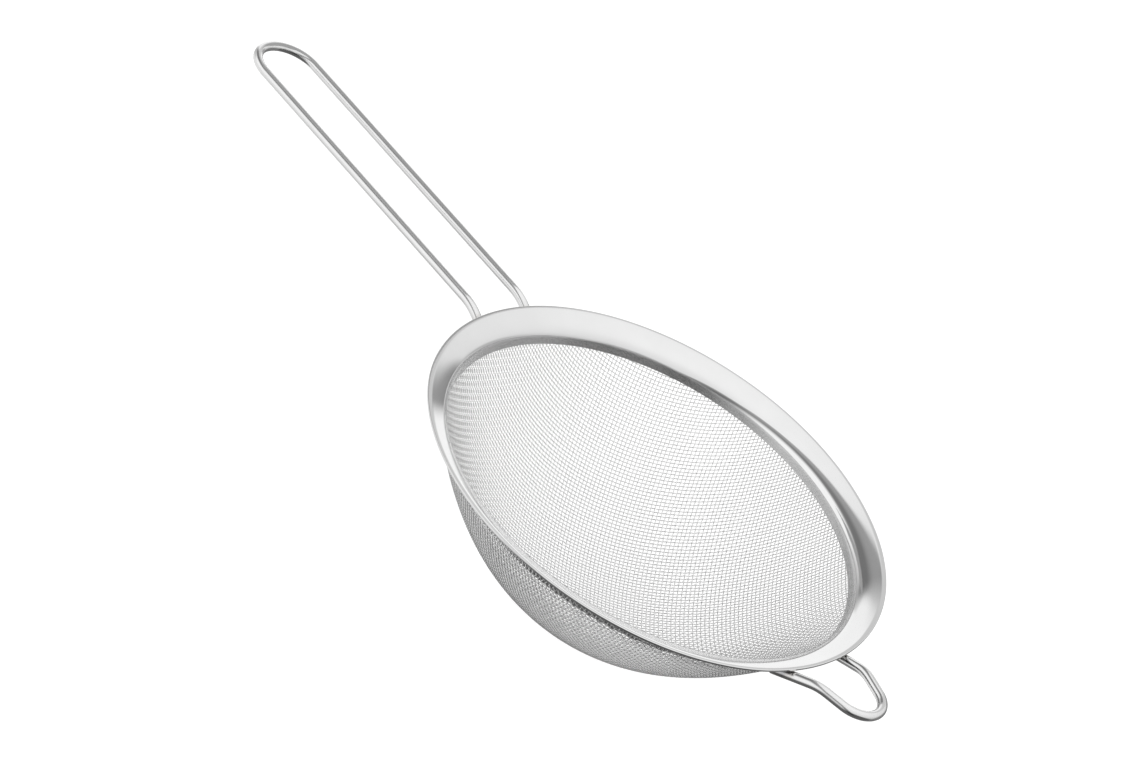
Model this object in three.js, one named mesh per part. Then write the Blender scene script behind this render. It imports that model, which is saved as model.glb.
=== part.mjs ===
// Bowl strainer of stainless steel, millimetres, +Z up.
// A bowl of woven wire cloth hangs in a pressed rim. A long wire loop is the
// handle (towards -X) and a short wire loop opposite it (towards +X) rests on
// the edge of a pot. The origin is the lowest point of the bowl, on the axis
// of the rim.

import * as THREE from 'three';
import { mergeVertices } from 'three/addons/utils/BufferGeometryUtils.js';

// ---- driving dimensions -------------------------------------------------

// rim
const RIM_RADIUS = 99.65;        // outside of the turned-down edge
const RIM_Z = 68;                // height of the rim
const EDGE_BOTTOM = RIM_Z - 0.65; // the edge is turned down to here
const EDGE_ROUND = 0.35;         // rounding between the flange and the edge
const EDGE_FOOT = 0.4;           // rounding at the edge's lower outside
const EDGE_THICK = 1.15;         // the edge is folded double
const SHEET = 0.5;               // sheet thickness of the rim
const FLANGE_START = [98.79, RIM_Z + 0.487]; // where the flange comes to the edge
const FLANGE_FROM = 9.68;        // distance along the flange at its start
const FLANGE_TO = -0.5;          // and where the turn into the collar begins
const FLANGE_SLOPE = 19.1;       // degrees, falling towards the bowl
const FLANGE_DIP = 24.9;         // the fall grows by this much towards the turn
const FLANGE_FADE = 2.85;        // over about this distance
const EASE_FROM = 8.2;           // beyond this distance the flange eases over
const EASE_OVER = 1.5;           // within this much
const EASE_TURN = 16;            // by this many degrees, towards its edge
const TURN_RADIUS = 6;           // turn from the flange into the collar
const COLLAR_SLOPE = 83;         // degrees, the collar draws in a little
const COLLAR_BOTTOM = RIM_Z - 9.8;

// outer band that holds the cloth against the collar
const BAND_INNER_R = 90.2;
const BAND_SHEET = 0.5;
const BAND_TOP = RIM_Z - 4.8;
const BAND_BOTTOM = RIM_Z - 6.7;

// woven bowl, as a thin shell of the cloth's thickness
const CLOTH = 0.6;
const CLOTH_TOP = RIM_Z - 6.2;
const CLOTH_R = 89.9;            // outer radius where the band holds it
const CLOTH_BEND_Z = RIM_Z - 10; // below this the bowl curves in
const BOTTOM_FLAT_R = 5;         // flattened middle of the bottom
const BOTTOM_PULL = 52.3;        // control radius of the bottom curve
const SIDE_PULL = [80.7, RIM_Z - 24]; // control point of the side

// wires
const WIRE_RADIUS = 2.0;
const WIRE_SIDES = 12;

// handle loop
const HANDLE_HALF_GAP = 14.4;    // wire centre to the middle plane
const HANDLE_BEND_X = -246.9;    // centre of the end bend
const HANDLE_ROOT_X = -93.2;     // inner end, under the flange
const HANDLE_ROOT_Z = RIM_Z - 5.8;
const HANDLE_KNEE_X = -105.55;   // where the leg turns level
const HANDLE_KNEE_Z = RIM_Z - 0.4;
const HANDLE_TIP_Z = RIM_Z + 0.6;
const HANDLE_KNEE_RADIUS = 22;

// rest loop
const LOOP_ROOT = [90.375, 17.796, RIM_Z - 6.695];
const LOOP_KNEE = [109.0, 14.4, RIM_Z + 1.5];
const LOOP_END = [128.1, 8.8, RIM_Z + 1.5];
const LOOP_KNEE_RADIUS = 18;
const LOOP_END_RADIUS = 11.6;

// welds between the flange's underside and the wires
const WELD_LENGTH = 4.2;
const WELD_WIDTH = 3.2;
const WELD_THICK = 0.9;
const HANDLE_WELD_REACH = 1.6;
const REST_WELD_REACH = 3.4;

// facets
const RIM_SEGMENTS = 72;
const BOWL_SEGMENTS = 64;

// ---- materials ----------------------------------------------------------

const steel = (color, roughness) =>
  new THREE.MeshStandardMaterial({ color, roughness, metalness: 1.0 });
const polishedSheet = steel(0xdededc, 0.2);
const bandSheet = steel(0xc4c4c2, 0.3);
const wireCloth = steel(0xc9c9c7, 0.35);
const drawnWire = steel(0xd6d6d4, 0.22);
const weldMetal = steel(0x9d9a96, 0.5);

// ---- helpers ------------------------------------------------------------

// Joins equal corners, drops collapsed triangles and makes the faces point out.
function closed(geometry) {
  let g = geometry.clone();
  for (const name of Object.keys(g.attributes)) {
    if (name !== 'position') g.deleteAttribute(name);
  }
  g.clearGroups();
  g = mergeVertices(g, 1e-4);
  const p = g.getAttribute('position');
  const index = g.getIndex().array;
  const keep = [];
  let volume = 0;
  const a = new THREE.Vector3();
  const b = new THREE.Vector3();
  const c = new THREE.Vector3();
  for (let i = 0; i < index.length; i += 3) {
    const [u, v, w] = [index[i], index[i + 1], index[i + 2]];
    if (u === v || v === w || w === u) continue;
    a.fromBufferAttribute(p, u);
    b.fromBufferAttribute(p, v);
    c.fromBufferAttribute(p, w);
    volume += a.dot(b.clone().cross(c)) / 6;
    keep.push(u, v, w);
  }
  if (volume < 0) {
    for (let i = 0; i < keep.length; i += 3) {
      [keep[i + 1], keep[i + 2]] = [keep[i + 2], keep[i + 1]];
    }
  }
  g.setIndex(keep);
  g.computeVertexNormals();
  return g;
}

// Turns a profile of [radius, height] points about the Z axis.
function turned(profile, segments) {
  const points = profile.map(([r, z]) => new THREE.Vector2(r, z));
  const g = new THREE.LatheGeometry(points, segments);
  g.rotateX(Math.PI / 2);
  return closed(g);
}

// Points of a circular arc in the profile plane, angles in radians.
function arc(centre, radius, from, to, steps) {
  const out = [];
  for (let i = 0; i <= steps; i++) {
    const t = from + ((to - from) * i) / steps;
    out.push([centre[0] + radius * Math.cos(t), centre[1] + radius * Math.sin(t)]);
  }
  return out;
}

// A wire's centreline: straight runs between corners, each corner rounded.
function bentLine(corners, radii, stepAngle) {
  const v = corners.map((c) => new THREE.Vector3(...c));
  const out = [v[0].clone()];
  for (let i = 1; i < v.length - 1; i++) {
    const into = v[i].clone().sub(v[i - 1]).normalize();
    const away = v[i + 1].clone().sub(v[i]).normalize();
    const turn = into.angleTo(away);
    const reach = radii[i - 1] * Math.tan(turn / 2);
    const start = v[i].clone().addScaledVector(into, -reach);
    const side = away.clone().addScaledVector(into, -away.dot(into)).normalize();
    const centre = start.clone().addScaledVector(side, radii[i - 1]);
    const steps = Math.max(2, Math.ceil(turn / stepAngle));
    for (let k = 0; k <= steps; k++) {
      const t = (turn * k) / steps;
      out.push(
        centre
          .clone()
          .addScaledVector(side, -radii[i - 1] * Math.cos(t))
          .addScaledVector(into, radii[i - 1] * Math.sin(t)),
      );
    }
  }
  out.push(v[v.length - 1].clone());
  return out.filter((p, i) => i === 0 || p.distanceTo(out[i - 1]) > 1e-3);
}

// The centreline as a curve whose sections keep one flat side facing down.
class WirePath extends THREE.Curve {
  constructor(points) {
    super();
    this.points = points;
  }
  getPoint(t, target = new THREE.Vector3()) {
    const f = t * (this.points.length - 1);
    const i = Math.min(Math.floor(f), this.points.length - 2);
    return target.copy(this.points[i]).lerp(this.points[i + 1], f - i);
  }
  getSpacedPoints() {
    return this.points.map((p) => p.clone());
  }
  computeFrenetFrames() {
    const n = this.points.length;
    const tangents = [];
    const normals = [];
    const binormals = [];
    for (let i = 0; i < n; i++) {
      const before = this.points[Math.max(i - 1, 0)];
      const after = this.points[Math.min(i + 1, n - 1)];
      const here = this.points[i];
      const d1 = here.clone().sub(before);
      const d2 = after.clone().sub(here);
      if (d1.lengthSq() > 0) d1.normalize();
      if (d2.lengthSq() > 0) d2.normalize();
      const tangent = d1.add(d2).normalize();
      const up = new THREE.Vector3(0, 0, 1);
      up.addScaledVector(tangent, -up.dot(tangent)).normalize();
      tangents.push(tangent);
      normals.push(up.clone().cross(tangent).normalize());
      binormals.push(up);
    }
    return { tangents, normals, binormals };
  }
}

function wire(points) {
  const section = new THREE.Shape();
  for (let i = 0; i < WIRE_SIDES; i++) {
    const t = ((i + 0.5) / WIRE_SIDES) * 2 * Math.PI;
    const x = WIRE_RADIUS * Math.cos(t);
    const y = WIRE_RADIUS * Math.sin(t);
    if (i === 0) section.moveTo(x, y);
    else section.lineTo(x, y);
  }
  section.closePath();
  const path = new WirePath(points);
  return closed(
    new THREE.ExtrudeGeometry(section, {
      steps: points.length - 1,
      extrudePath: path,
      curveSegments: 1,
    }),
  );
}

// ---- rim: turned-down edge, sloped flange and collar, one pressed sheet ----

// Section of the sheet's top, from the edge inwards: each entry is a radius, a
// height and the angle at which the sheet falls there. The flange eases over at
// its edge, is almost straight next to that and falls ever faster until it turns
// into the collar.
function sheetSection() {
  const fall = (at) => {
    const ease = EASE_TURN * THREE.MathUtils.clamp((at - EASE_FROM) / EASE_OVER, 0, 1) ** 1.5;
    return THREE.MathUtils.degToRad(FLANGE_SLOPE + FLANGE_DIP * Math.exp(-at / FLANGE_FADE) - ease);
  };
  const made = [];
  const keep = [9.68, 9.2, 8.7, 8.0, 5, 3.4, 2.2, 1.2, 0.4, FLANGE_TO];
  const fine = 400;
  const step = (FLANGE_FROM - FLANGE_TO) / fine;
  let [r, z] = FLANGE_START;
  for (let i = 0; i <= fine; i++) {
    const at = FLANGE_FROM - i * step;
    if (keep.some((k) => Math.abs(k - at) <= step / 2 + 1e-9)) made.push([r, z, fall(at)]);
    const middle = fall(at - step / 2);
    if (i < fine) {
      r -= Math.cos(middle) * step;
      z -= Math.sin(middle) * step;
    }
  }
  const start = fall(FLANGE_TO);
  const end = THREE.MathUtils.degToRad(COLLAR_SLOPE);
  const turns = 3;
  const [r0, z0] = [r, z];
  for (let i = 1; i <= turns; i++) {
    const a = start + ((end - start) * i) / turns;
    made.push([
      r0 - TURN_RADIUS * (Math.sin(a) - Math.sin(start)),
      z0 - TURN_RADIUS * (Math.cos(start) - Math.cos(a)),
      a,
    ]);
  }
  const [r1, z1] = made[made.length - 1];
  made.push([r1 - (z1 - COLLAR_BOTTOM) / Math.tan(end), COLLAR_BOTTOM, end]);
  return made.filter((p, i) => i === 0 || Math.hypot(p[0] - made[i - 1][0], p[1] - made[i - 1][1]) > 0.05);
}

const sheetTop = sheetSection();
const sheetUnder = sheetTop.map(([r, z, a]) => [r + SHEET * Math.sin(a), z - SHEET * Math.cos(a)]);
sheetUnder[sheetUnder.length - 1][1] = COLLAR_BOTTOM;

// height of the flange's underside at a radius
function underFlange(r) {
  for (let i = 1; i < sheetUnder.length; i++) {
    const [r0, z0] = sheetUnder[i - 1];
    const [r1, z1] = sheetUnder[i];
    if (r <= r0 && r >= r1) return z1 + ((z0 - z1) * (r - r1)) / (r0 - r1);
  }
  return sheetUnder[0][1];
}

const outer = sheetTop[0][2];
const cornerR = RIM_RADIUS - EDGE_ROUND;
const corner = [
  cornerR,
  FLANGE_START[1] + (cornerR - FLANGE_START[0]) * Math.tan(outer) - EDGE_ROUND / Math.cos(outer),
];
const foot = [RIM_RADIUS - EDGE_FOOT, EDGE_BOTTOM + EDGE_FOOT];
const edgeInside = RIM_RADIUS - EDGE_THICK;

const rimProfile = [
  ...sheetTop.slice(1).reverse().map(([r, z]) => [r, z]),
  ...arc(corner, EDGE_ROUND, Math.PI / 2 + outer, 0, 5),
  ...arc(foot, EDGE_FOOT, 0, -Math.PI / 2, 3),
  [edgeInside, EDGE_BOTTOM],
  [edgeInside, underFlange(edgeInside)],
  ...sheetUnder.filter(([r]) => r < edgeInside - 0.3),
];
rimProfile.push(rimProfile[0]);

// ---- outer band ------------------------------------------------------------

const bandProfile = [
  [BAND_INNER_R, BAND_BOTTOM],
  [BAND_INNER_R, BAND_TOP],
  [BAND_INNER_R + BAND_SHEET, BAND_TOP],
  [BAND_INNER_R + BAND_SHEET, BAND_BOTTOM + 0.2],
  [BAND_INNER_R + BAND_SHEET - 0.2, BAND_BOTTOM],
  [BAND_INNER_R, BAND_BOTTOM],
];

// ---- woven bowl --------------------------------------------------------------

function bowlPoint(t) {
  const p = [
    [CLOTH_R, CLOTH_BEND_Z],
    SIDE_PULL,
    [BOTTOM_PULL, 0],
    [BOTTOM_FLAT_R, 0],
  ];
  const s = 1 - t;
  const w = [s * s * s, 3 * s * s * t, 3 * s * t * t, t * t * t];
  const d = [-3 * s * s, 3 * s * s - 6 * s * t, 6 * s * t - 3 * t * t, 3 * t * t];
  const at = [0, 0];
  const go = [0, 0];
  for (let i = 0; i < 4; i++) {
    for (let k = 0; k < 2; k++) {
      at[k] += w[i] * p[i][k];
      go[k] += d[i] * p[i][k];
    }
  }
  const length = Math.hypot(go[0], go[1]);
  // the inside lies up and towards the axis
  return { at, inside: [at[0] + (CLOTH * go[1]) / length, at[1] - (CLOTH * go[0]) / length] };
}

const BOWL_STEPS = 11;
const outside = [];
const inside = [];
for (let i = 0; i <= BOWL_STEPS; i++) {
  const q = bowlPoint(i / BOWL_STEPS);
  outside.push(q.at);
  inside.push(q.inside);
}
const bowlProfile = [
  [0, 0],
  ...outside.slice().reverse(),
  [CLOTH_R, CLOTH_TOP],
  [CLOTH_R - CLOTH, CLOTH_TOP],
  ...inside,
  [0, CLOTH],
];

// ---- wires -------------------------------------------------------------------

const legs = (side) => [
  [HANDLE_ROOT_X, side * HANDLE_HALF_GAP, HANDLE_ROOT_Z],
  [HANDLE_KNEE_X, side * HANDLE_HALF_GAP, HANDLE_KNEE_Z],
  [HANDLE_BEND_X - HANDLE_HALF_GAP, side * HANDLE_HALF_GAP, HANDLE_TIP_Z],
];
const STEP_ANGLE = THREE.MathUtils.degToRad(9);
const endRadius = HANDLE_HALF_GAP - 0.01;
const handleLine = bentLine(
  [...legs(-1), ...legs(1).reverse()],
  [HANDLE_KNEE_RADIUS, endRadius, endRadius, HANDLE_KNEE_RADIUS],
  STEP_ANGLE,
);

const mirrored = ([x, y, z]) => [x, -y, z];
const loopLine = bentLine(
  [mirrored(LOOP_ROOT), mirrored(LOOP_KNEE), mirrored(LOOP_END), LOOP_END, LOOP_KNEE, LOOP_ROOT],
  [LOOP_KNEE_RADIUS, LOOP_END_RADIUS, LOOP_END_RADIUS, LOOP_KNEE_RADIUS],
  STEP_ANGLE,
);

// ---- welds ---------------------------------------------------------------------

// A flat lens of weld metal halfway between the flange's underside and a wire.
// reach is the distance from the wire's inner end to the middle of the weld.
function weld(name, root, towards, reach) {
  const a = new THREE.Vector3(...root);
  const go = new THREE.Vector3(...towards).sub(a).normalize();
  const on = a.clone().addScaledVector(go, reach);
  const r = Math.hypot(on.x, on.y);
  const under = underFlange(r);
  const pitch = Math.atan2(go.z, Math.hypot(go.x, go.y));
  const over = on.z + WIRE_RADIUS / Math.cos(pitch);
  const g = new THREE.SphereGeometry(0.5, 12, 8);
  g.scale(WELD_LENGTH, WELD_WIDTH, WELD_THICK);
  const mesh = new THREE.Mesh(closed(g), weldMetal);
  mesh.name = name;
  mesh.position.set(on.x, on.y, (under + over) / 2);
  mesh.rotation.set(0, -pitch, Math.atan2(go.y, go.x), 'ZYX');
  return mesh;
}

// ---- assembly ------------------------------------------------------------------

const strainer = new THREE.Group();
function add(name, geometry, material) {
  const mesh = new THREE.Mesh(geometry, material);
  mesh.name = name;
  strainer.add(mesh);
}

add('rim_ring', turned(rimProfile, RIM_SEGMENTS), polishedSheet);
add('cloth_band', turned(bandProfile, RIM_SEGMENTS), bandSheet);
add('mesh_bowl', turned(bowlProfile, BOWL_SEGMENTS), wireCloth);
add('handle_wire', wire(handleLine), drawnWire);
add('rest_loop_wire', wire(loopLine), drawnWire);

strainer.add(weld('handle_weld_right', legs(-1)[0], legs(-1)[1], HANDLE_WELD_REACH));
strainer.add(weld('handle_weld_left', legs(1)[0], legs(1)[1], HANDLE_WELD_REACH));
strainer.add(weld('rest_weld_right', mirrored(LOOP_ROOT), mirrored(LOOP_KNEE), REST_WELD_REACH));
strainer.add(weld('rest_weld_left', LOOP_ROOT, LOOP_KNEE, REST_WELD_REACH));

export default strainer;
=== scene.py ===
"""Mesh strainer: looks, camera and studio. All lengths below are in millimetres
in the CAD frame and go to Blender in metres."""

import math

import bmesh
import bpy
import numpy as np
from mathutils import Matrix, Vector, noise


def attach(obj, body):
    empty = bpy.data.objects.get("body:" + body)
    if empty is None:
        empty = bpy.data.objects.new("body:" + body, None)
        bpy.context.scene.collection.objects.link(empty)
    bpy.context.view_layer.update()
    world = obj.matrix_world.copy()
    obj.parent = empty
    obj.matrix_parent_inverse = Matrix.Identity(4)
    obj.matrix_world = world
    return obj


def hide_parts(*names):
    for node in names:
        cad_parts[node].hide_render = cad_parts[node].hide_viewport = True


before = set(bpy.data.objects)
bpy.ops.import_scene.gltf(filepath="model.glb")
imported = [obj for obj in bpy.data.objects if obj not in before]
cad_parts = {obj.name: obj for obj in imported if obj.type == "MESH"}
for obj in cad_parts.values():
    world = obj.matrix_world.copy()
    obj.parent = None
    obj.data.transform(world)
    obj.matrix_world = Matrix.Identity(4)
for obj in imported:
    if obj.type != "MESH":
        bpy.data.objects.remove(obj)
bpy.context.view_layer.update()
MM = 0.001
scene = bpy.context.scene

# ---- driving dimensions, the same as in the CAD ---------------------------

RIM_Z = 68.0
RIM_RADIUS = 99.65
EDGE_BOTTOM = RIM_Z - 0.65                  # the turned-down edge, from its top rounding to here
EDGE_ROUND, EDGE_FOOT, EDGE_IN = 0.35, 0.4, 1.15
SHEET = 0.5
FLANGE_START = (98.79, RIM_Z + 0.487)       # where the flange comes to the edge
FLANGE_FROM, FLANGE_TO = 9.68, -0.5         # distance along the flange
FLANGE_SLOPE, FLANGE_DIP, FLANGE_FADE = 19.1, 24.9, 2.85
EASE_FROM, EASE_OVER, EASE_TURN = 8.2, 1.5, 16.0   # the flange eases over towards its edge
TURN_RADIUS = 6.0
COLLAR_SLOPE = math.radians(83.0)
COLLAR_BOTTOM = RIM_Z - 9.8
BAND_INNER_R, BAND_SHEET = 90.2, 0.5
BAND_TOP, BAND_BOTTOM = RIM_Z - 4.8, RIM_Z - 6.7
CLOTH_R = 89.9
BOWL_CURVE = np.array([(CLOTH_R, 58.0), (80.7, 44.0), (52.3, 0.0), (5.0, 0.0)])
WIRE_RADIUS = 2.0

# woven cloth
CLOTH_WIRE = 0.37          # wire diameter
STEP_U = 1.685             # spacing along the wires that run at 45 degrees
STEP_V = 1.555             # spacing along the wires that run at 135 degrees
CLOTH_CUT_Z = 61.7         # the wires end inside the band
SAMPLES = 4                # points of a wire between two crossings
SIDES = 6

# ---- helpers ---------------------------------------------------------------


def add_mesh(name, verts, faces, sharp=None):
    """A mesh object from an (n, 3) array in millimetres and an (m, k) array of faces."""
    verts = np.asarray(verts, dtype=np.float64) * MM
    faces = np.asarray(faces, dtype=np.int32)
    k = faces.shape[1]
    mesh = bpy.data.meshes.new(name)
    mesh.vertices.add(len(verts))
    mesh.vertices.foreach_set("co", verts.astype(np.float32).ravel())
    mesh.loops.add(faces.size)
    mesh.loops.foreach_set("vertex_index", faces.ravel())
    mesh.polygons.add(len(faces))
    mesh.polygons.foreach_set("loop_start", np.arange(0, faces.size, k, dtype=np.int32))
    mesh.update(calc_edges=True)
    mesh.validate()
    mesh.shade_smooth()
    if sharp is not None:
        mesh.set_sharp_from_angle(angle=math.radians(sharp))
    obj = bpy.data.objects.new(name, mesh)
    scene.collection.objects.link(obj)
    return obj


def add_bmesh(name, bm, sharp=None):
    bmesh.ops.recalc_face_normals(bm, faces=bm.faces)
    mesh = bpy.data.meshes.new(name)
    bm.to_mesh(mesh)
    bm.free()
    mesh.shade_smooth()
    if sharp is not None:
        mesh.set_sharp_from_angle(angle=math.radians(sharp))
    obj = bpy.data.objects.new(name, mesh)
    scene.collection.objects.link(obj)
    return obj


def point_attribute(obj, name, values):
    """A vector per vertex that the materials read."""
    a = obj.data.attributes.new(name, "FLOAT_VECTOR", "POINT")
    a.data.foreach_set("vector", np.asarray(values, dtype=np.float32).ravel())


def piece(obj, slot, *nodes):
    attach(obj, "root")
    if nodes:
        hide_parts(*nodes)
    return obj


def arc(centre, radius, start, end, steps):
    t = np.linspace(start, end, steps + 1)
    return np.c_[centre[0] + radius * np.cos(t), centre[1] + radius * np.sin(t)]


def run(a, b, at):
    """Points of a straight run from a to b at the given fractions."""
    a, b = np.asarray(a, float), np.asarray(b, float)
    return np.array([a + (b - a) * t for t in at])


def lathe(name, profile, segments, wobble=None, sharp=30.0):
    """Turns a closed profile of (radius, height) about Z."""
    p = np.asarray(profile, float)
    keep = np.r_[True, np.hypot(*np.diff(p, axis=0).T) > 1e-5]
    p = p[keep]
    n = len(p)
    area = 0.5 * np.sum(p[:, 0] * np.roll(p[:, 1], -1) - np.roll(p[:, 0], -1) * p[:, 1])
    if area < 0:
        p = p[::-1]
    th = np.arange(segments) * 2 * math.pi / segments
    r = np.repeat(p[None, :, 0], segments, 0)
    z = np.repeat(p[None, :, 1], segments, 0)
    if wobble is not None:
        r, z = wobble(r, z, th[:, None])
    verts = np.stack([r * np.cos(th)[:, None], r * np.sin(th)[:, None], z], -1).reshape(-1, 3)
    i = np.arange(segments)[:, None]
    j = np.arange(n)[None, :]
    i2, j2 = (i + 1) % segments, (j + 1) % n
    faces = np.stack(
        [i * n + j, i2 * n + j, i2 * n + j2, i * n + j2], -1
    ).reshape(-1, 4)
    return add_mesh(name, verts, faces, sharp)


def bent_line(corners, radii, step_deg=3.0, straight=6.0):
    """A wire's centreline: straight runs between corners, each corner rounded."""
    v = [Vector(c) for c in corners]
    out = [v[0].copy()]
    for i in range(1, len(v) - 1):
        into = (v[i] - v[i - 1]).normalized()
        away = (v[i + 1] - v[i]).normalized()
        turn = into.angle(away)
        radius = radii[i - 1]
        start = v[i] - into * radius * math.tan(turn / 2)
        side = (away - into * away.dot(into)).normalized()
        centre = start + side * radius
        steps = max(3, math.ceil(math.degrees(turn) / step_deg))
        for k in range(steps + 1):
            t = turn * k / steps
            out.append(centre - side * radius * math.cos(t) + into * radius * math.sin(t))
    out.append(v[-1].copy())
    fine = [out[0]]
    for p in out[1:]:
        gap = (p - fine[-1]).length
        if gap < 1e-3:
            continue
        a = fine[-1].copy()
        n = max(1, math.ceil(gap / straight))
        fine += [a.lerp(p, (k + 1) / n) for k in range(n)]
    return fine


def wire_sweep(name, line, radius, sides=28, edge=0.35):
    """A round drawn wire along a line, its cut ends slightly rounded off. The
    attribute "drawn" holds each point's place round and along the wire."""
    n = len(line)
    tang = []
    for i in range(n):
        a, b = line[max(i - 1, 0)], line[min(i + 1, n - 1)]
        d1 = (line[i] - a).normalized() if i else (b - line[i]).normalized()
        d2 = (b - line[i]).normalized() if i < n - 1 else d1
        tang.append((d1 + d2).normalized())
    up = Vector((0, 0, 1))
    up = (up - tang[0] * up.dot(tang[0])).normalized()
    stations = []
    length = 0.0
    for i in range(n):
        if i:
            length += (line[i] - line[i - 1]).length
            up = tang[i - 1].rotation_difference(tang[i]) @ up
            up = (up - tang[i] * up.dot(tang[i])).normalized()
        stations.append([line[i], tang[i], up.copy(), length, radius])

    def end(st, sign):
        p, t, u, l, r = st
        made = []
        for k in range(1, 5):
            a = k / 4 * math.pi / 2
            made.append([p + t * sign * edge * math.sin(a), t, u, l + sign * edge * math.sin(a),
                         r - edge * (1 - math.cos(a))])
        made.append([p + t * sign * (edge + 0.02), t, u, l + sign * edge, r * 0.5])
        return made

    first, last = stations[0], stations[-1]
    # the ends are pulled back so that the rounded cut stays where the wire ends
    first[0] = first[0] + first[1] * edge
    last[0] = last[0] - last[1] * edge
    stations = end(first, -1)[::-1] + stations + end(last, 1)
    ang = np.arange(sides) * 2 * math.pi / sides
    verts, drawn = [], []
    for p, t, u, l, r in stations:
        s = t.cross(u)
        for a in ang:
            verts.append(p + (u * math.cos(a) + s * math.sin(a)) * r)
            drawn.append((r * math.cos(a) * MM, r * math.sin(a) * MM, l * MM))
    m = len(stations)
    bm = bmesh.new()
    bv = [bm.verts.new(Vector(v) * MM) for v in verts]
    for i in range(m - 1):
        for j in range(sides):
            j2 = (j + 1) % sides
            bm.faces.new((bv[i * sides + j], bv[i * sides + j2], bv[(i + 1) * sides + j2], bv[(i + 1) * sides + j]))
    bm.faces.new(bv[:sides])
    bm.faces.new(bv[-sides:])
    obj = add_bmesh(name, bm, 50)
    point_attribute(obj, "drawn", drawn)
    return obj


# ---- materials -------------------------------------------------------------


class Tree:
    """Short ways to make and join a material's nodes."""

    def __init__(self, owner):
        owner.use_nodes = True
        self.tree = owner.node_tree
        self.tree.nodes.clear()

    def node(self, kind, **values):
        n = self.tree.nodes.new(kind)
        for k, v in values.items():
            setattr(n, k, v)
        return n

    def put(self, source, target):
        if isinstance(source, (int, float)):
            target.default_value = source
        elif isinstance(source, (tuple, list, Vector)):
            target.default_value = source
        else:
            self.tree.links.new(source, target)

    def math(self, op, a, b=0.0, clamp=False):
        n = self.node("ShaderNodeMath", operation=op, use_clamp=clamp)
        self.put(a, n.inputs[0])
        self.put(b, n.inputs[1])
        return n.outputs[0]

    def vector(self, op, a, b):
        n = self.node("ShaderNodeVectorMath", operation=op)
        self.put(a, n.inputs[0])
        self.put(b, n.inputs[1])
        return n.outputs["Value"] if op in ("DOT_PRODUCT", "DISTANCE", "LENGTH") else n.outputs["Vector"]

    def noise(self, vec, scale, detail=2.0, rough=0.5):
        n = self.node("ShaderNodeTexNoise")
        self.put(vec, n.inputs["Vector"])
        n.inputs["Scale"].default_value = scale
        n.inputs["Detail"].default_value = detail
        n.inputs["Roughness"].default_value = rough
        return n.outputs["Fac"]

    def span(self, value, a, b, c, d, smooth=False):
        n = self.node("ShaderNodeMapRange", interpolation_type="SMOOTHSTEP" if smooth else "LINEAR")
        for s, v in zip(n.inputs[:5], (value, a, b, c, d)):
            self.put(v, s)
        return n.outputs[0]

    def ramp(self, value, stops):
        n = self.node("ShaderNodeValToRGB")
        self.put(value, n.inputs[0])
        els = n.color_ramp.elements
        while len(els) < len(stops):
            els.new(0.5)
        for e, (at, col) in zip(els, stops):
            e.position = at
            e.color = (*col, 1.0)
        return n.outputs[0]

    def mix(self, fac, a, b):
        n = self.node("ShaderNodeMix", data_type="RGBA")
        self.put(fac, n.inputs[0])
        for v, s in ((a, n.inputs[6]), (b, n.inputs[7])):
            self.put((*v, 1.0) if isinstance(v, tuple) else v, s)
        return n.outputs[2]

    def combine(self, x, y, z):
        n = self.node("ShaderNodeCombineXYZ")
        for s, v in zip(n.inputs, (x, y, z)):
            self.put(v, s)
        return n.outputs[0]

    def split(self, vec):
        n = self.node("ShaderNodeSeparateXYZ")
        self.put(vec, n.inputs[0])
        return n.outputs


def fall(at):
    """Angle at which the flange falls, at a distance along it."""
    at = np.asarray(at)
    ease = EASE_TURN * np.clip((at - EASE_FROM) / EASE_OVER, 0.0, 1.0) ** 1.5
    return np.radians(FLANGE_SLOPE + FLANGE_DIP * np.exp(-at / FLANGE_FADE) - ease)


def sheet_section():
    """Top of the pressed sheet from the edge inwards: radius, height, fall angle.
    The flange is almost straight outside and falls ever faster until it turns
    into the collar."""
    s = np.linspace(FLANGE_FROM, FLANGE_TO, 2001)
    step = s[0] - s[1]
    mid = fall(s[:-1] - step / 2)
    r = FLANGE_START[0] - np.r_[0, np.cumsum(np.cos(mid) * step)]
    z = FLANGE_START[1] - np.r_[0, np.cumsum(np.sin(mid) * step)]
    keep = np.r_[9.45, 9.25, 9.05, 8.85, 8.65, 8.45, 8.2, 7.8, 7.4, 6.6, 5.9, 5.2, 4.6, 4.1, 3.6, 3.2, 2.8, 2.45, 2.1, 1.8, 1.5,
                 1.25, 1.0, 0.78, 0.56, 0.36, 0.16, -0.02, -0.18, -0.34, -0.5]
    flange = np.c_[np.interp(-keep, -s, r), np.interp(-keep, -s, z), fall(keep)]
    a0 = float(fall(FLANGE_TO))
    a = np.linspace(a0, COLLAR_SLOPE, 16)[1:]
    turn = np.c_[
        r[-1] - TURN_RADIUS * (np.sin(a) - math.sin(a0)),
        z[-1] - TURN_RADIUS * (math.cos(a0) - np.cos(a)),
        a,
    ]
    r1, z1, _ = turn[-1]
    deep = z1 - COLLAR_BOTTOM
    part = np.array([0.03, 0.1, 0.35, 0.65, 0.9, 0.96])
    collar = np.c_[
        r1 - deep * part / math.tan(COLLAR_SLOPE), z1 - deep * part, np.full(len(part), COLLAR_SLOPE)
    ]
    return np.vstack([flange, turn, collar])


SECTION = sheet_section()
UNDER = SECTION[:, :2] + SHEET * np.c_[np.sin(SECTION[:, 2]), -np.cos(SECTION[:, 2])]


def place(t):
    """Object coordinates, which are the CAD frame in metres."""
    return t.node("ShaderNodeTexCoord").outputs["Object"]


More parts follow.
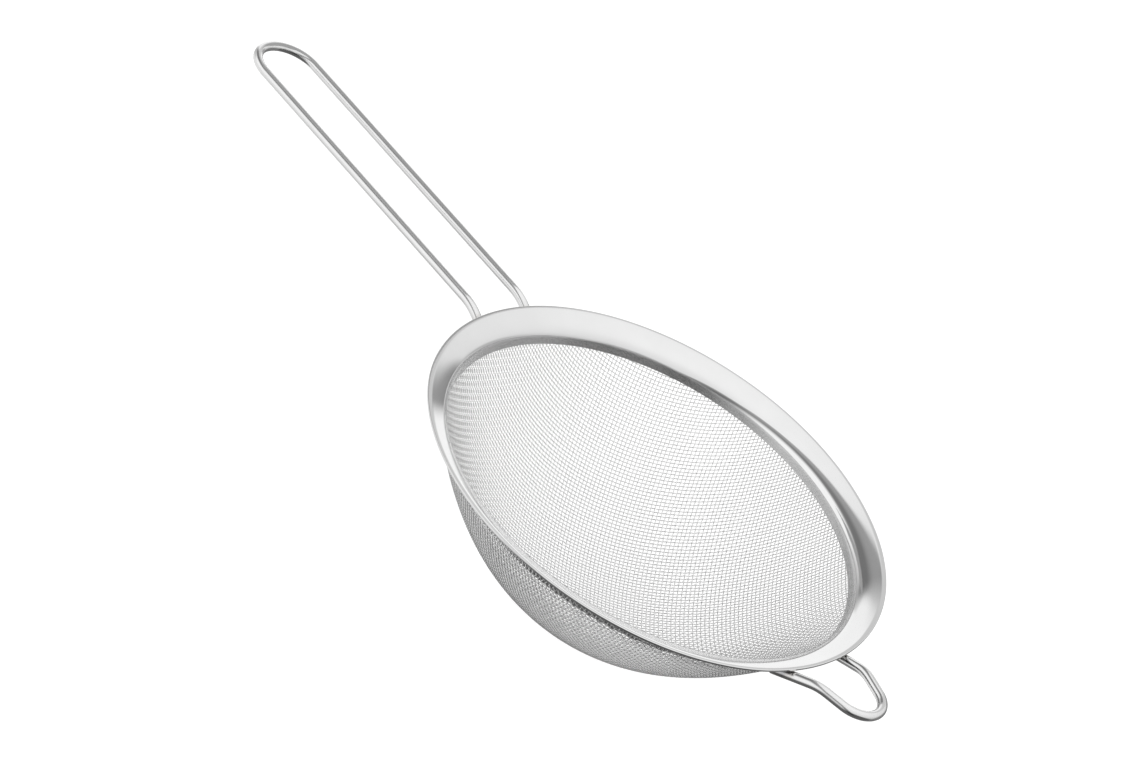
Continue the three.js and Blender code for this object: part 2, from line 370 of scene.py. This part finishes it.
def weld_points():
    """Middle of each weld, in millimetres: under the flange, over the wire's end."""
    made = {}
    for name, root, towards in (
        ("handle_weld_right", (-93.2, -14.4, 62.2), (-105.55, -14.4, 67.6)),
        ("handle_weld_left", (-93.2, 14.4, 62.2), (-105.55, 14.4, 67.6)),
        ("rest_weld_right", (92.0, -17.5, RIM_Z - 5.98), (109.0, -14.4, RIM_Z + 1.5)),
        ("rest_weld_left", (92.0, 17.5, RIM_Z - 5.98), (109.0, 14.4, RIM_Z + 1.5)),
    ):
        a = Vector(root)
        go = (Vector(towards) - a).normalized()
        on = a + go * 1.6
        r = math.hypot(on.x, on.y)
        under = float(np.interp(r, UNDER[::-1, 0], UNDER[::-1, 1]))
        pitch = math.atan2(go.z, math.hypot(go.x, go.y))
        over = on.z + WIRE_RADIUS / math.cos(pitch)
        made[name] = (Vector((on.x, on.y, (under + over) / 2)), go)
    return made


WELDS = weld_points()


def weld_tint_and_shade(t, obj_vec, color, reach_mm=7.0, strength=0.75):
    """Dark grey marks round the welds, fading into the steel: partly heat tint, partly painted shade where the
    wires meet the rim.
    """
    near = None
    for at, _ in WELDS.values():
        d = t.vector("DISTANCE", obj_vec, tuple(at * MM))
        near = d if near is None else t.math("MINIMUM", near, d)
    wander = t.noise(obj_vec, 420.0, 2.0)
    near = t.math("ADD", near, t.math("MULTIPLY", t.math("SUBTRACT", wander, 0.5), 0.0035))
    # near black to steel grey: painted shade at the joins, with a little warm heat tint
    tint_and_shade = t.ramp(
        t.math("DIVIDE", near, reach_mm * MM, clamp=True),
        [(0.0, (0.16, 0.16, 0.16)), (0.34, (0.22, 0.23, 0.25)), (0.5, (0.32, 0.30, 0.30)),
         (0.68, (0.50, 0.47, 0.43)), (1.0, (0.68, 0.67, 0.65))],
    )
    fade = t.span(near, 0.3 * reach_mm * MM, reach_mm * MM, strength, 0.0, smooth=True)
    return t.mix(fade, color, tint_and_shade)


def finish_steel(t, color, rough, height=None, bump=0.0, distance=0.00002, metallic=1.0):
    out = t.node("ShaderNodeOutputMaterial")
    b = t.node("ShaderNodeBsdfPrincipled")
    t.put(color, b.inputs["Base Color"])
    b.inputs["Metallic"].default_value = metallic
    t.put(rough, b.inputs["Roughness"])
    if height is not None:
        n = t.node("ShaderNodeBump")
        n.inputs["Strength"].default_value = bump
        n.inputs["Distance"].default_value = distance
        t.put(height, n.inputs["Height"])
        t.put(n.outputs[0], b.inputs["Normal"])
    t.put(b.outputs[0], out.inputs["Surface"])


def material(name):
    m = bpy.data.materials.new(name)
    return m, Tree(m)


def rim_material():
    """Bright pressed sheet with fine turned lines round the ring."""
    m, t = material("polished_rim_sheet")
    p = place(t)
    x, y, z = t.split(p)
    r = t.math("SQRT", t.math("ADD", t.math("MULTIPLY", x, x), t.math("MULTIPLY", y, y)))
    rings = t.combine(t.math("MULTIPLY", r, 1.0), t.math("MULTIPLY", z, 1.0), 0.0)
    drift = t.vector("ADD", rings, t.vector("MULTIPLY", p, (0.012, 0.012, 0.0)))
    lines = t.noise(drift, 5200.0, 3.0, 0.6)
    cloud = t.noise(p, 55.0, 3.0, 0.55)
    spots = t.noise(p, 900.0, 2.0, 0.6)
    shade = t.math("ADD", t.math("MULTIPLY", cloud, 0.7), t.math("MULTIPLY", lines, 0.3))
    color = t.ramp(shade, [(0.3, (0.75, 0.75, 0.75)), (0.7, (0.79, 0.79, 0.79))])
    # weld marks on the down-facing sheet only; their dark grey is partly heat tint, partly painted shade
    under = t.node("ShaderNodeAttribute", attribute_name="under").outputs["Fac"]
    color = t.mix(under, color, weld_tint_and_shade(t, p, color, 7.0, 0.6))
    # the collar's lower part is rougher, as left off the press, and its colour is darkened towards grey as painted
    # shade
    collar_shade_and_dull = t.span(z, 0.0612, 0.0624, 1.0, 0.0, smooth=True)
    color = t.mix(t.math("MULTIPLY", collar_shade_and_dull, 0.44), color, (0.38, 0.38, 0.38))
    rough = t.math("ADD", t.span(lines, 0.3, 0.7, 0.065, 0.085), t.math("MULTIPLY", spots, 0.015))
    rough = t.math("ADD", rough, t.math("MULTIPLY", collar_shade_and_dull, 0.1))
    finish_steel(t, color, rough, lines, 0.02, 0.00001)
    return m


def band_material():
    """Dull strip; its base colour is darker than the polished rim's as painted shade, for the shade under the
    flange.
    """
    m, t = material("satin_band_painted_shade")
    p = place(t)
    x, y, z = t.split(p)
    r = t.math("SQRT", t.math("ADD", t.math("MULTIPLY", x, x), t.math("MULTIPLY", y, y)))
    rings = t.vector("ADD", t.combine(r, z, 0.0), t.vector("MULTIPLY", p, (0.02, 0.02, 0.0)))
    lines = t.noise(rings, 3600.0, 3.0, 0.6)
    cloud = t.noise(p, 90.0, 3.0, 0.6)
    shade = t.math("ADD", t.math("MULTIPLY", cloud, 0.6), t.math("MULTIPLY", lines, 0.4))
    # dark base colour: painted shade under the flange
    color = t.ramp(shade, [(0.3, (0.30, 0.30, 0.30)), (0.7, (0.40, 0.40, 0.40))])
    rough = t.span(lines, 0.3, 0.7, 0.26, 0.38)
    finish_steel(t, color, rough, lines, 0.12, 0.00002)
    return m


def wire_material():
    """Drawn wire: fine die lines along it, and darkened round the welds: partly heat tint, partly painted shade
    where it meets the rim.
    """
    m, t = material("drawn_steel_wire")
    p = place(t)
    a = t.node("ShaderNodeAttribute", attribute_name="drawn")
    d = t.vector("MULTIPLY", a.outputs["Vector"], (1.0, 1.0, 0.012))
    lines = t.noise(d, 3000.0, 3.0, 0.6)
    cloud = t.noise(p, 70.0, 3.0, 0.55)
    shade = t.math("ADD", t.math("MULTIPLY", cloud, 0.6), t.math("MULTIPLY", lines, 0.4))
    color = t.ramp(shade, [(0.3, (0.73, 0.73, 0.73)), (0.7, (0.80, 0.80, 0.80))])
    # dark marks round the welds: partly heat tint, partly painted shade
    color = weld_tint_and_shade(t, p, color, 8.0, 0.7)
    rough = t.span(lines, 0.3, 0.7, 0.13, 0.2)
    finish_steel(t, color, rough, lines, 0.08, 0.00002)
    return m


def cloth_material():
    """Fine woven wire, a little greyer than the sheet."""
    m, t = material("woven_steel_wire")
    p = place(t)
    cloud = t.noise(p, 45.0, 3.0, 0.55)
    fine = t.noise(p, 700.0, 2.0, 0.6)
    shade = t.math("ADD", t.math("MULTIPLY", cloud, 0.5), t.math("MULTIPLY", fine, 0.5))
    color = t.ramp(shade, [(0.3, (0.84, 0.84, 0.84)), (0.7, (0.90, 0.90, 0.90))])
    rough = t.span(fine, 0.3, 0.7, 0.16, 0.24)
    finish_steel(t, color, rough)
    return m


def weld_material():
    """Rough weld metal with annealing colours."""
    m, t = material("weld_bead_metal")
    p = place(t)
    grit = t.noise(p, 2600.0, 4.0, 0.65)
    cloud = t.noise(p, 500.0, 2.0, 0.5)
    color = t.ramp(cloud, [(0.25, (0.19, 0.18, 0.185)), (0.5, (0.36, 0.33, 0.30)), (0.75, (0.30, 0.31, 0.37))])
    rough = t.span(grit, 0.3, 0.7, 0.34, 0.6)
    finish_steel(t, color, rough, grit, 0.35, 0.00006)
    return m


STEEL_RIM = rim_material()
STEEL_BAND = band_material()
STEEL_WIRE = wire_material()
STEEL_CLOTH = cloth_material()
STEEL_WELD = weld_material()

# ---- rim: turned-down edge, sloped flange, rounding and collar ----------------

START_FALL = float(fall(FLANGE_FROM))
corner_r = RIM_RADIUS - EDGE_ROUND
corner = (
    corner_r,
    FLANGE_START[1] + (corner_r - FLANGE_START[0]) * math.tan(START_FALL) - EDGE_ROUND / math.cos(START_FALL),
)
edge_in = RIM_RADIUS - EDGE_IN
foot = SECTION[-1, :2] + (COLLAR_BOTTOM - SECTION[-1, 1]) * np.array([1 / math.tan(COLLAR_SLOPE), 1.0])
foot_under = foot + [SHEET / math.sin(COLLAR_SLOPE), 0.0]
rim_profile = np.vstack([
    [foot + [0.1, 0.0]],
    SECTION[::-1, :2],
    arc(corner, EDGE_ROUND, math.pi / 2 + START_FALL, 0.0, 16),
    run((RIM_RADIUS, corner[1]), (RIM_RADIUS, EDGE_BOTTOM + EDGE_FOOT), (0.1, 0.5, 0.9)),
    arc((RIM_RADIUS - EDGE_FOOT, EDGE_BOTTOM + EDGE_FOOT), EDGE_FOOT, 0.0, -math.pi / 2, 10),
    arc((edge_in + 0.22, EDGE_BOTTOM + 0.22), 0.22, -math.pi / 2, -math.pi, 6),
    [(edge_in, UNDER[0, 1] - 0.08)],
    UNDER,
    [foot_under - [0.1, 0.0]],
])


def pressed(r, z, th):
    """Slow unevenness that pressing leaves in the flange; none at the collar's foot."""
    part = np.clip((z - 62.0) / 6.0, 0.0, 1.0)
    lift = 0.035 * np.sin(3 * th + 0.7) + 0.025 * np.sin(7 * th + 2.1) + 0.012 * np.sin(16 * th + 4.0)
    return r, z + part * lift - 0.02 * part


rim = lathe("rim_sheet", rim_profile, 320, pressed, 38)
rim.data.materials.append(STEEL_RIM)
# down-facing mask, which keeps the weld marks with their painted shade on the underside of the sheet
facing = np.empty(len(rim.data.vertices) * 3, dtype=np.float32)
rim.data.vertices.foreach_get("normal", facing)
down_facing = np.clip(-facing.reshape(-1, 3)[:, 2] * 3.0, 0.0, 1.0)
mask = rim.data.attributes.new("under", "FLOAT", "POINT")
mask.data.foreach_set("value", down_facing)
piece(rim, "rim_sheet", "rim_ring")

# ---- band outside the cloth --------------------------------------------------

ri, ro = BAND_INNER_R, BAND_INNER_R + BAND_SHEET
e = 0.17
band_profile = np.vstack([
    arc((ro - e, BAND_BOTTOM + e), e, -math.pi / 2, 0.0, 6),
    run((ro, BAND_BOTTOM + e), (ro, BAND_TOP - e), (0.0, 0.03, 0.5, 0.97, 1.0)),
    arc((ro - e, BAND_TOP - e), e, 0.0, math.pi / 2, 6),
    arc((ri + e, BAND_TOP - e), e, math.pi / 2, math.pi, 6),
    run((ri, BAND_TOP - e), (ri, BAND_BOTTOM + e), (0.0, 0.03, 0.97, 1.0)),
    arc((ri + e, BAND_BOTTOM + e), e, math.pi, 1.5 * math.pi, 6),
])
band = lathe("cloth_band_strip", band_profile, 320, None, 45)
band.data.materials.append(STEEL_BAND)
piece(band, "band_sheet", "cloth_band")

# ---- woven bowl ---------------------------------------------------------------


def bowl_profile(offset):
    """Radius and height of the cloth's middle against the arc length from the pole."""
    t = np.linspace(1, 0, 1500)[:, None]
    c = BOWL_CURVE
    at = (1 - t) ** 3 * c[0] + 3 * (1 - t) ** 2 * t * c[1] + 3 * (1 - t) * t * t * c[2] + t ** 3 * c[3]
    go = (
        -3 * (1 - t) ** 2 * c[0]
        + (3 * (1 - t) ** 2 - 6 * (1 - t) * t) * c[1]
        + (6 * (1 - t) * t - 3 * t * t) * c[2]
        + 3 * t * t * c[3]
    )
    size = np.hypot(go[:, 0], go[:, 1])
    line = np.c_[at[:, 0] + offset * go[:, 1] / size, at[:, 1] - offset * go[:, 0] / size]
    line = np.vstack([[(0.0, offset)], line, [(CLOTH_R - offset, 58.6), (CLOTH_R - offset, 90.0)]])
    s = np.r_[0, np.cumsum(np.hypot(*np.diff(line, axis=0).T))]
    keep = np.r_[True, np.diff(s) > 1e-9]
    grid = np.arange(0, s[-1], 0.05)
    w = np.exp(-0.5 * (np.arange(-60, 61) / 9.0) ** 2)
    w /= w.sum()

    def soft(values):
        return np.convolve(np.pad(values, 60, mode="edge"), w, mode="valid")

    r = soft(np.interp(grid, s[keep], line[keep, 0]))
    z = soft(np.interp(grid, s[keep], line[keep, 1]))
    return grid, r - r[0], z


S, SR, SZ = bowl_profile(CLOTH_WIRE)
SDR, SDZ = np.gradient(SR, S), np.gradient(SZ, S)


def on_bowl(s, f):
    r = np.interp(s, S, SR)
    return np.stack([r * np.cos(f), r * np.sin(f), np.interp(s, S, SZ)], -1)


def meridian(step, count):
    out = [0.0]
    for _ in range(count):
        a, b = out[-1], out[-1] + step
        for _ in range(6):
            d = math.hypot(np.interp(b, S, SR) - np.interp(a, S, SR), np.interp(b, S, SZ) - np.interp(a, S, SZ))
            b += step - d
        out.append(b)
    return np.array(out)


def woven_quadrant(step_u, step_v, count):
    """Crossings of the cloth drawn over the bowl: neighbours along either wire
    stay one step apart, so the squares shear into diamonds up the sides. The
    first wire each way is a meridian, at angle 0 and at 90 degrees."""
    s = np.full((count + 1, count + 1), np.nan)
    f = np.full((count + 1, count + 1), np.nan)
    s[:, 0], f[:, 0] = meridian(step_u, count), 0.0
    s[0, :], f[0, :] = meridian(step_v, count), math.pi / 2
    f[0, 0] = math.pi / 4
    for k in range(2, 2 * count + 1):
        i = np.arange(max(1, k - count), min(count, k - 1) + 1)
        j = k - i
        a, b = on_bowl(s[i - 1, j], f[i - 1, j]), on_bowl(s[i, j - 1], f[i, j - 1])
        o = on_bowl(s[i - 1, j - 1], f[i - 1, j - 1])
        good = ~(np.isnan(a[:, 0]) | np.isnan(b[:, 0]) | np.isnan(o[:, 0]))
        if not good.any():
            break
        i, j, a, b, o = i[good], j[good], a[good], b[good], o[good]
        g = a + b - o
        ff = np.arctan2(g[:, 1], g[:, 0])
        ss = 0.5 * (s[i, j - 1] + s[i - 1, j]) + 0.25 * (step_u + step_v)
        for _ in range(12):
            r, z = np.interp(ss, S, SR), np.interp(ss, S, SZ)
            dr, dz = np.interp(ss, S, SDR), np.interp(ss, S, SDZ)
            c, n = np.cos(ff), np.sin(ff)
            q = np.stack([r * c, r * n, z], -1)
            qs = np.stack([dr * c, dr * n, dz], -1)
            qf = np.stack([-r * n, r * c, 0 * r], -1)
            da, db = q - a, q - b
            la, lb = np.linalg.norm(da, axis=1), np.linalg.norm(db, axis=1)
            e1, e2 = la - step_u, lb - step_v
            j11, j12 = (da * qs).sum(1) / la, (da * qf).sum(1) / la
            j21, j22 = (db * qs).sum(1) / lb, (db * qf).sum(1) / lb
            det = j11 * j22 - j12 * j21
            det = np.where(np.abs(det) < 1e-9, np.nan, det)
            ds, df = -(j22 * e1 - j12 * e2) / det, -(-j21 * e1 + j11 * e2) / det
            hold = np.minimum(1, 0.8 / np.maximum(np.abs(ds), 1e-12))
            hold = np.minimum(hold, 0.8 / np.maximum(np.abs(df) * np.maximum(r, 1), 1e-12))
            ss, ff = ss + ds * hold, ff + df * hold
        bad = ~(np.maximum(np.abs(e1), np.abs(e2)) < 1e-3) | (ss > S[-1] - 1)
        ss[bad] = np.nan
        ff[bad] = np.nan
        s[i, j], f[i, j] = ss, ff
    return s, f


COUNT = 92
qs, qf = woven_quadrant(STEP_U, STEP_V, COUNT)
# all four quadrants by mirroring, then turned so that the wires run at 45 and 135 degrees
N = 2 * COUNT + 1
NS = np.full((N, N), np.nan)
NF = np.full((N, N), np.nan)
for su in (1, -1):
    for sv in (1, -1):
        ii = COUNT + su * np.arange(COUNT + 1)
        jj = COUNT + sv * np.arange(COUNT + 1)
        x, y = su * np.cos(qf), sv * np.sin(qf)
        NS[np.ix_(ii, jj)] = qs
        NF[np.ix_(ii, jj)] = np.arctan2(y, x)
NF += math.pi / 4

rng = np.random.default_rng(7)
POINTS = on_bowl(NS, NF)
slope_r, slope_z = np.interp(NS, S, SDR), np.interp(NS, S, SDZ)
# outward normal of the bowl
NORMALS = np.stack([slope_z * np.cos(NF), slope_z * np.sin(NF), -slope_r], -1)


def woven_wire(points, normals, first):
    """One wire through its crossings, over and under in turn. Returns ring
    centres, normals and tangents, cut where the cloth goes into the rim."""
    n = len(points)
    k = np.arange((n - 1) * SAMPLES + 1) / SAMPLES
    base = np.stack([np.interp(k, np.arange(n), points[:, c]) for c in range(3)], -1)
    up = np.stack([np.interp(k, np.arange(n), normals[:, c]) for c in range(3)], -1)
    up /= np.linalg.norm(up, axis=1)[:, None]
    wave = np.cos(math.pi * k)
    wave = np.sign(wave) * np.abs(wave) ** 0.85
    centre = base + up * (first * CLOTH_WIRE / 2 * wave)[:, None]
    inside = centre[:, 2] < CLOTH_CUT_Z
    if inside.sum() < 2:
        return None
    lo, hi = np.flatnonzero(inside)[[0, -1]]
    return centre[lo:hi + 1], up[lo:hi + 1]


def sweep_wires(wires, radius, sides):
    verts, faces, at = [], [], 0
    ang = np.arange(sides) * 2 * math.pi / sides
    for centre, up in wires:
        n = len(centre)
        tang = np.gradient(centre, axis=0)
        tang /= np.linalg.norm(tang, axis=1)[:, None]
        u = up - tang * (up * tang).sum(1)[:, None]
        u /= np.linalg.norm(u, axis=1)[:, None]
        v = np.cross(tang, u)
        ring = centre[:, None] + radius * (u[:, None] * np.cos(ang)[None, :, None] + v[:, None] * np.sin(ang)[None, :, None])
        verts.append(ring.reshape(-1, 3))
        i = np.arange(n - 1)[:, None] * sides
        j = np.arange(sides)[None]
        j2 = (j + 1) % sides
        faces.append((np.stack([i + j, i + j2, i + sides + j2, i + sides + j], -1) + at).reshape(-1, 4))
        # the two cut ends are closed
        for k0, order in ((0, (0, 3, 2, 1)), (n - 1, (0, 1, 2, 3))):
            b = at + k0 * sides
            for c in range((sides - 2) // 2):
                quad = (b, b + 2 * c + 1, b + 2 * c + 2, b + 2 * c + 3)
                faces.append(np.array([[quad[o] for o in order]]))
        at += n * sides
    return np.vstack(verts), np.vstack(faces)


def wires_of(family):
    made = []
    for w in range(N):
        pts = POINTS[:, w] if family == "u" else POINTS[w, :]
        nrm = NORMALS[:, w] if family == "u" else NORMALS[w, :]
        ok = np.flatnonzero(~np.isnan(pts[:, 0]) & (pts[:, 2] < CLOTH_CUT_Z + 4))
        if len(ok) < 3:
            continue
        mid = COUNT
        if not (ok[0] <= mid <= ok[-1]):
            mid = ok[len(ok) // 2]
        lo = hi = mid
        have = set(ok.tolist())
        while lo - 1 in have:
            lo -= 1
        while hi + 1 in have:
            hi += 1
        sign = 1.0 if (lo + w) % 2 == 0 else -1.0
        if family == "v":
            sign = -sign
        # each wire lies a little off its ideal place, as in real cloth
        shift = rng.normal(0.0, 0.035)
        side = np.gradient(pts[lo:hi + 1], axis=0)
        side = np.cross(side, nrm[lo:hi + 1])
        side /= np.linalg.norm(side, axis=1)[:, None]
        got = woven_wire(pts[lo:hi + 1] + side * shift, nrm[lo:hi + 1], sign)
        if got is not None and len(got[0]) >= 4:
            made.append(got)
    return made


PARTS = 4
for family in ("u", "v"):
    wires = wires_of(family)
    load = np.cumsum([len(c) for c, _ in wires])
    for part in range(PARTS):
        lo, hi = load[-1] * part / PARTS, load[-1] * (part + 1) / PARTS
        group = [w for w, l in zip(wires, load) if lo < l <= hi]
        verts, faces = sweep_wires(group, CLOTH_WIRE / 2, SIDES)
        cloth = add_mesh(f"woven_wires_{family}{part + 1}", verts, faces)
        cloth.data.materials.append(STEEL_CLOTH)
        piece(cloth, "wire_cloth", "mesh_bowl")

# ---- handle and rest loop -------------------------------------------------------

handle_line = bent_line(
    [(-93.2, -14.4, 62.2), (-105.55, -14.4, 67.6), (-261.3, -14.4, 68.6),
     (-261.3, 14.4, 68.6), (-105.55, 14.4, 67.6), (-93.2, 14.4, 62.2)],
    [22.0, 14.39, 14.39, 22.0],
)
handle = wire_sweep("handle_loop", handle_line, WIRE_RADIUS)
handle.data.materials.append(STEEL_WIRE)
piece(handle, "drawn_wire", "handle_wire")

rest_line = bent_line(
    [(90.375, -17.796, RIM_Z - 6.695), (109.0, -14.4, RIM_Z + 1.5), (128.1, -8.8, RIM_Z + 1.5),
     (128.1, 8.8, RIM_Z + 1.5), (109.0, 14.4, RIM_Z + 1.5), (90.375, 17.796, RIM_Z - 6.695)],
    [18.0, 11.6, 11.6, 18.0],
)
rest = wire_sweep("rest_loop", rest_line, WIRE_RADIUS)
rest.data.materials.append(STEEL_WIRE)
piece(rest, "drawn_wire", "rest_loop_wire")

# ---- welds -----------------------------------------------------------------------

for k, (name, (at, go)) in enumerate(WELDS.items()):
    side = go.cross(Vector((0, 0, 1))).normalized()
    up = side.cross(go).normalized()
    bm = bmesh.new()
    bmesh.ops.create_uvsphere(bm, u_segments=40, v_segments=22, radius=1.0)
    for v in bm.verts:
        p = v.co.copy()
        # flattened between flange and wire, with flow ripples and lumps
        p.x = math.copysign(abs(p.x) ** 0.85, p.x)
        lump = 1.0 + 0.10 * noise.noise(Vector((p.x * 1.7 + 11 * k, p.y * 1.7, p.z * 1.7)))
        ripple = 0.035 * math.sin(p.x * 13.0 + 1.5 * p.y * p.y) * (1.0 - abs(p.x))
        q = p * (lump + ripple)
        v.co = (at + go * q.x * 2.45 + side * q.y * 2.0 + up * q.z * 0.66) * MM
    weld = add_bmesh(f"{name}_bead", bm)
    weld.data.materials.append(STEEL_WELD)
    piece(weld, "weld_metal", name)

# ---- floor, light and camera --------------------------------------------------------

bm = bmesh.new()
bmesh.ops.create_circle(bm, cap_ends=True, segments=96, radius=9.0)
floor = add_bmesh("floor", bm)
floor.location.z = -0.0003
m, t = material("pale_floor")
out = t.node("ShaderNodeOutputMaterial")
b = t.node("ShaderNodeBsdfPrincipled")
b.inputs["Base Color"].default_value = (0.40, 0.40, 0.40, 1.0)
b.inputs["Roughness"].default_value = 0.85
b.inputs["Specular IOR Level"].default_value = 0.1
b.inputs["Emission Color"].default_value = (1.0, 1.0, 1.0, 1.0)
b.inputs["Emission Strength"].default_value = 0.8
t.put(b.outputs[0], out.inputs["Surface"])
floor.data.materials.append(m)
floor.visible_glossy = False  # the steel mirrors the studio, not the floor

# A grey card hangs over the handle, out of the picture, and shades its upper side.
bm = bmesh.new()
bmesh.ops.create_grid(bm, x_segments=6, y_segments=6, size=0.5)
card = add_bmesh("shade_card", bm)
card.scale = (0.18, 0.19, 1.0)
card.location = (-0.24, 0.072, 0.168)
m, t = material("grey_card")
out = t.node("ShaderNodeOutputMaterial")
b = t.node("ShaderNodeBsdfPrincipled")
b.inputs["Base Color"].default_value = (0.38, 0.38, 0.38, 1.0)
b.inputs["Roughness"].default_value = 0.9
b.inputs["Specular IOR Level"].default_value = 0.0
t.put(b.outputs[0], out.inputs["Surface"])
card.data.materials.append(m)
card.visible_camera = False
card.visible_shadow = False
card.visible_diffuse = False

# Soft studio light: a bright ceiling that falls off downwards, soft patches, and
# the dim gap between the softbox on the left and the ceiling. A patch is its
# brightness, azimuth, elevation, and outer and inner radius in degrees.
CEILING = [(-1.0, 0.20), (-0.70, 0.20), (-0.42, 0.45), (0.0, 0.78), (0.3, 1.0), (0.7, 1.1), (1.0, 1.24)]
PATCHES = [
    (1.27, -126.0, 14.0, 58.0, 28.0),   # softbox on the left
    (0.66, 168.0, -28.0, 46.0, 22.0),   # unlit corner
    (1.06, -153.0, -43.0, 54.0, 32.0),  # table on the left
    (0.26, 66.0, -34.0, 50.0, 26.0),    # table on the right
    (0.12, -22.0, -36.0, 50.0, 34.0),   # dark room in front
    (0.15, -52.0, -66.0, 50.0, 32.0),   # its floor
    (0.80, 121.0, 30.0, 22.0, 12.0),    # back wall
]
DIM_PATCH = (100.5, 5.5, 18.0, 8.0, 0.58)
BACKDROP = (1.25, 127.4, 0.0, 26.8, 22.8)
SIDE_LIGHT = (1.22, 141.5, 20.0, 11.5, 4.5)
BRIGHTNESS = 0.91
GAP_NORMAL = Vector((0.723, 0.432, 0.541)).normalized()
GAP_ALONG = Vector((0.513, -0.858, 0.0)).normalized()
GAP_DEPTH = 0.78


def aim(azimuth, elevation):
    a, e = math.radians(azimuth), math.radians(elevation)
    return (math.cos(e) * math.cos(a), math.cos(e) * math.sin(a), math.sin(e))


world = bpy.data.worlds.new("studio")
scene.world = world
t = Tree(world)
way = t.node("ShaderNodeTexCoord").outputs["Generated"]
height = t.split(way)[2]


def within(azimuth, elevation, outer, inner):
    """1 inside a round patch of sky, fading to 0 at its outer radius."""
    d = t.vector("DOT_PRODUCT", way, aim(azimuth, elevation))
    return t.span(d, math.cos(math.radians(outer)), math.cos(math.radians(inner)), 0.0, 1.0, smooth=True)


light = t.math(
    "MULTIPLY",
    t.ramp(t.span(height, -1.0, 1.0, 0.0, 1.0), [((z + 1) / 2, (v / 2,) * 3) for z, v in CEILING]),
    2.0,
)
for value, azimuth, elevation, outer, inner in PATCHES:
    part = within(azimuth, elevation, outer, inner)
    light = t.math("ADD", light, t.math("MULTIPLY", part, t.math("SUBTRACT", value, light)))
across = t.vector("DOT_PRODUCT", way, tuple(GAP_NORMAL))
down = t.vector("DOT_PRODUCT", way, tuple(GAP_ALONG))
lower = t.math("SUBTRACT", across, t.math("MULTIPLY", down, 0.2))
upper = t.math("SUBTRACT", across, t.span(down, 0.75, 1.0, 0.0, 0.16, smooth=True))
open_top = t.math(
    "ADD", t.span(upper, -0.10, 0.06, 0.0, 0.22, smooth=True), t.span(upper, 0.10, 0.15, 0.0, 0.78, smooth=True)
)
gap = t.math(
    "MULTIPLY", t.span(lower, -0.48, -0.16, 0.0, 1.0, smooth=True), t.math("SUBTRACT", 1.0, open_top)
)
gap = t.math("MULTIPLY", gap, t.span(down, -0.85, -0.73, 0.0, GAP_DEPTH, smooth=True))
gap = t.math("MULTIPLY", gap, t.span(height, -0.8, -0.4, 0.0, 1.0, smooth=True))
light = t.math("MULTIPLY", light, t.math("SUBTRACT", 1.0, gap))
dim = t.math("MULTIPLY", within(*DIM_PATCH[:4]), DIM_PATCH[4])
light = t.math("MULTIPLY", light, t.math("SUBTRACT", 1.0, dim))
part = t.math("MULTIPLY", within(*BACKDROP[1:]), t.span(height, -0.34, -0.24, 0.0, 1.0, smooth=True))
light = t.math("ADD", light, t.math("MULTIPLY", part, t.math("SUBTRACT", BACKDROP[0], light)))
part = within(*SIDE_LIGHT[1:])
light = t.math("ADD", light, t.math("MULTIPLY", part, t.math("SUBTRACT", SIDE_LIGHT[0], light)))
light = t.math("MULTIPLY", light, BRIGHTNESS)
bg = t.node("ShaderNodeBackground")
t.put(light, bg.inputs["Strength"])
bg.inputs["Color"].default_value = (1.0, 1.0, 1.0, 1.0)
t.put(bg.outputs[0], t.node("ShaderNodeOutputWorld").inputs["Surface"])

cam = bpy.data.objects.new("camera", bpy.data.cameras.new("camera"))
scene.collection.objects.link(cam)
turn_vec = Vector((1.83857603, 1.07382026, 0.0309329706))
look = Matrix.Rotation(turn_vec.length, 3, turn_vec)
shift = Vector((0.034643, 0.03905, 1.52155077))
eye = -(look.transposed() @ shift) + Vector((0, 0, RIM_Z * MM))
axes = Matrix((look[0], -look[1], -look[2])).transposed()
cam.matrix_world = Matrix.Translation(eye) @ axes.to_4x4()
cam.data.sensor_fit = "HORIZONTAL"
cam.data.sensor_width = 36.0
cam.data.lens = 3930.986 / 1142 * 36.0
cam.data.clip_start, cam.data.clip_end = 0.05, 50.0
scene.camera = cam
scene.view_settings.view_transform = "Standard"
